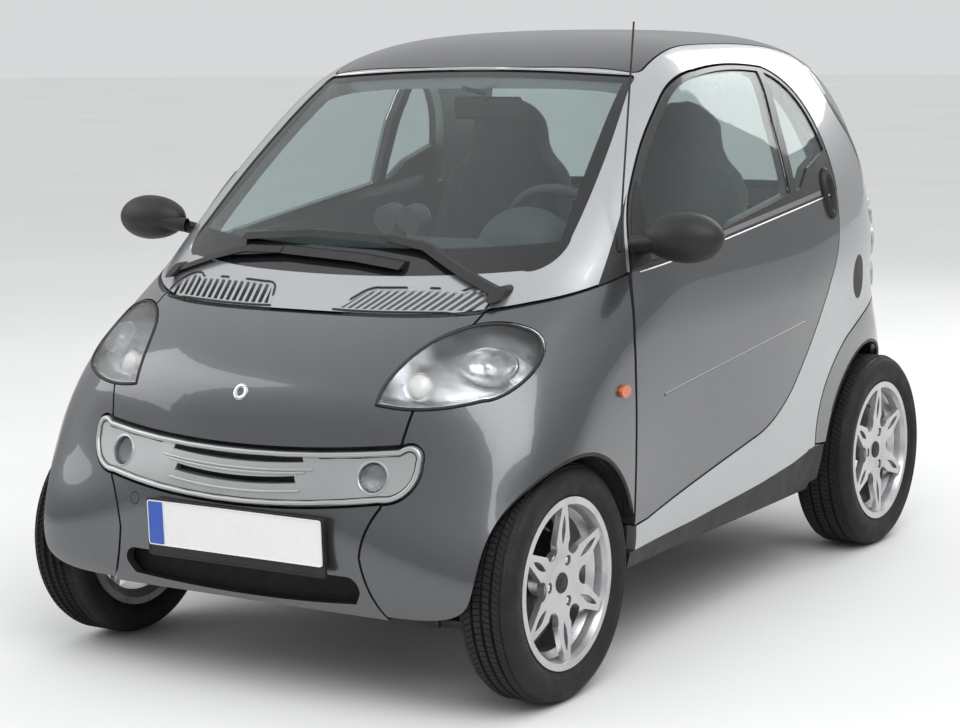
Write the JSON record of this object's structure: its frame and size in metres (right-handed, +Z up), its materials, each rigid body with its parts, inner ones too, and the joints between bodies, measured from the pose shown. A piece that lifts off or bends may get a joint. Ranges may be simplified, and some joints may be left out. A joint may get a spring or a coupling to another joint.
{
  "type": "microcar",
  "caption": "Short two-seat car with a silver cell, dark panels, opening doors, rear hatch and tail flap, steered front wheels and turning wheels.",
  "frame": {"origin": "ground point below the middle of the body, 30 mm ahead of the point midway between the axles", "axes": "+X to the car's left, +Y to its rear, +Z up; the front faces -Y"},
  "size_m": [1.8714, 2.4844, 1.5765],
  "materials": {
    "body_panel": "metallic dark grey panels, clear coated",
    "cell_silver": "metallic silver paint",
    "roof": "very glossy near-black panel",
    "black_gloss": "glossy black frame",
    "black_plastic": "grained black plastic",
    "satin_insert": "satin silver",
    "mirror_case": "smooth dark cover",
    "window_glass": "lightly green tinted glass",
    "lamp_glass": "clear lamp cover",
    "lamp_inside": "bright reflector",
    "red_lens": "red lens",
    "alloy": "satin silver cast wheel",
    "tyre": "black rubber",
    "chassis": "dark coated metal",
    "seat_cloth": "dark woven cloth",
    "cabin_plastic": "dark grained plastic"
  },
  "bodies": {
    "car_body": {"aerial": "black_plastic", "bonnet": "body_panel", "cowl_vents": "black_plastic", "dashboard": "cabin_plastic", "door_hinges": "chassis", "engine_block": "chassis", "floor_pan": "chassis", "fog_lamps": "lamp_glass", "front_bumper": "body_panel", "front_fenders": "body_panel", "front_subframe": "chassis", "grille_insert": "satin_insert", "headlamp_housings": "lamp_inside", "headlamp_lenses": "lamp_glass", "panel_carriers": "black_plastic", "pillar_feet": "black_plastic", "quarter_covers": "black_plastic", "rear_axle": "chassis", "rear_bumper": "body_panel", "rear_fenders": "body_panel", "roof_panel": "roof", "safety_cell": "cell_silver", "seat_back_left": "seat_cloth", "seat_back_right": "seat_cloth", "seat_bases": "chassis", "seat_cushion_left": "seat_cloth", "seat_cushion_right": "seat_cloth", "side_repeaters": "lamp_glass", "side_skirts": "black_plastic", "silencer": "black_plastic", "tail_lamps": "red_lens", "wheel_liners": "black_plastic", "windscreen": "window_glass", "wipers": "black_plastic"},
    "left_door": {"door_left": "body_panel", "window_frame_left": "black_gloss", "door_glass_left": "window_glass", "mirror_left": "mirror_case"},
    "right_door": {"door_right": "body_panel", "window_frame_right": "black_gloss", "door_glass_right": "window_glass", "mirror_right": "mirror_case"},
    "hatch": {"hatch_frame": "black_gloss", "hatch_glass": "window_glass"},
    "flap": {"tail_flap": "body_panel"},
    "steering": {"steering_wheel": "cabin_plastic"},
    "left_knuckle": {"knuckle_left": "chassis"},
    "right_knuckle": {"knuckle_right": "chassis"},
    "wheel_front_left": {"rim_front_left": "alloy", "tyre_front_left": "tyre"},
    "wheel_front_right": {"rim_front_right": "alloy", "tyre_front_right": "tyre"},
    "wheel_rear_left": {"rim_rear_left": "alloy", "tyre_rear_left": "tyre"},
    "wheel_rear_right": {"rim_rear_right": "alloy", "tyre_rear_right": "tyre"}
  },
  "joints": [
    {"name": "left_door_hinge", "type": "hinge", "parent": "car_body", "child": "left_door", "pos_m": [0.739, -0.571, 0.66], "axis": [0, 0, 1], "range_deg": [-70, 0]},
    {"name": "right_door_hinge", "type": "hinge", "parent": "car_body", "child": "right_door", "pos_m": [-0.739, -0.571, 0.66], "axis": [0, 0, 1], "range_deg": [0, 70]},
    {"name": "hatch_hinge", "type": "hinge", "parent": "car_body", "child": "hatch", "pos_m": [0, 0.752, 1.528], "axis": [1, 0, 0], "range_deg": [0, 75]},
    {"name": "flap_hinge", "type": "hinge", "parent": "car_body", "child": "flap", "pos_m": [0, 1.247, 0.562], "axis": [1, 0, 0], "range_deg": [-90, 0]},
    {"name": "steering_turn", "type": "hinge", "parent": "car_body", "child": "steering", "pos_m": [0.345, -0.215, 1], "axis": [0, 0.8829, 0.4695], "range_deg": [-540, 540]},
    {"name": "left_kingpin", "type": "hinge", "parent": "car_body", "child": "left_knuckle", "pos_m": [0.59, -0.876, 0.284], "axis": [0, 0, 1], "range_deg": [-30, 30]},
    {"name": "right_kingpin", "type": "hinge", "parent": "car_body", "child": "right_knuckle", "pos_m": [-0.59, -0.876, 0.284], "axis": [0, 0, 1], "range_deg": [-30, 30]},
    {"name": "front_left_spin", "type": "hinge", "parent": "left_knuckle", "child": "wheel_front_left", "pos_m": [0.653, -0.876, 0.284], "axis": [1, 0, 0], "continuous": true},
    {"name": "front_right_spin", "type": "hinge", "parent": "right_knuckle", "child": "wheel_front_right", "pos_m": [-0.653, -0.876, 0.284], "axis": [1, 0, 0], "continuous": true},
    {"name": "rear_left_spin", "type": "hinge", "parent": "car_body", "child": "wheel_rear_left", "pos_m": [0.6565, 0.936, 0.284], "axis": [1, 0, 0], "continuous": true},
    {"name": "rear_right_spin", "type": "hinge", "parent": "car_body", "child": "wheel_rear_right", "pos_m": [-0.6565, 0.936, 0.284], "axis": [1, 0, 0], "continuous": true}
  ],
  "couplings": [
    {"joint": "left_kingpin", "follows": "steering_turn", "ratio": 0.055556},
    {"joint": "right_kingpin", "follows": "steering_turn", "ratio": 0.055556}
  ]
}
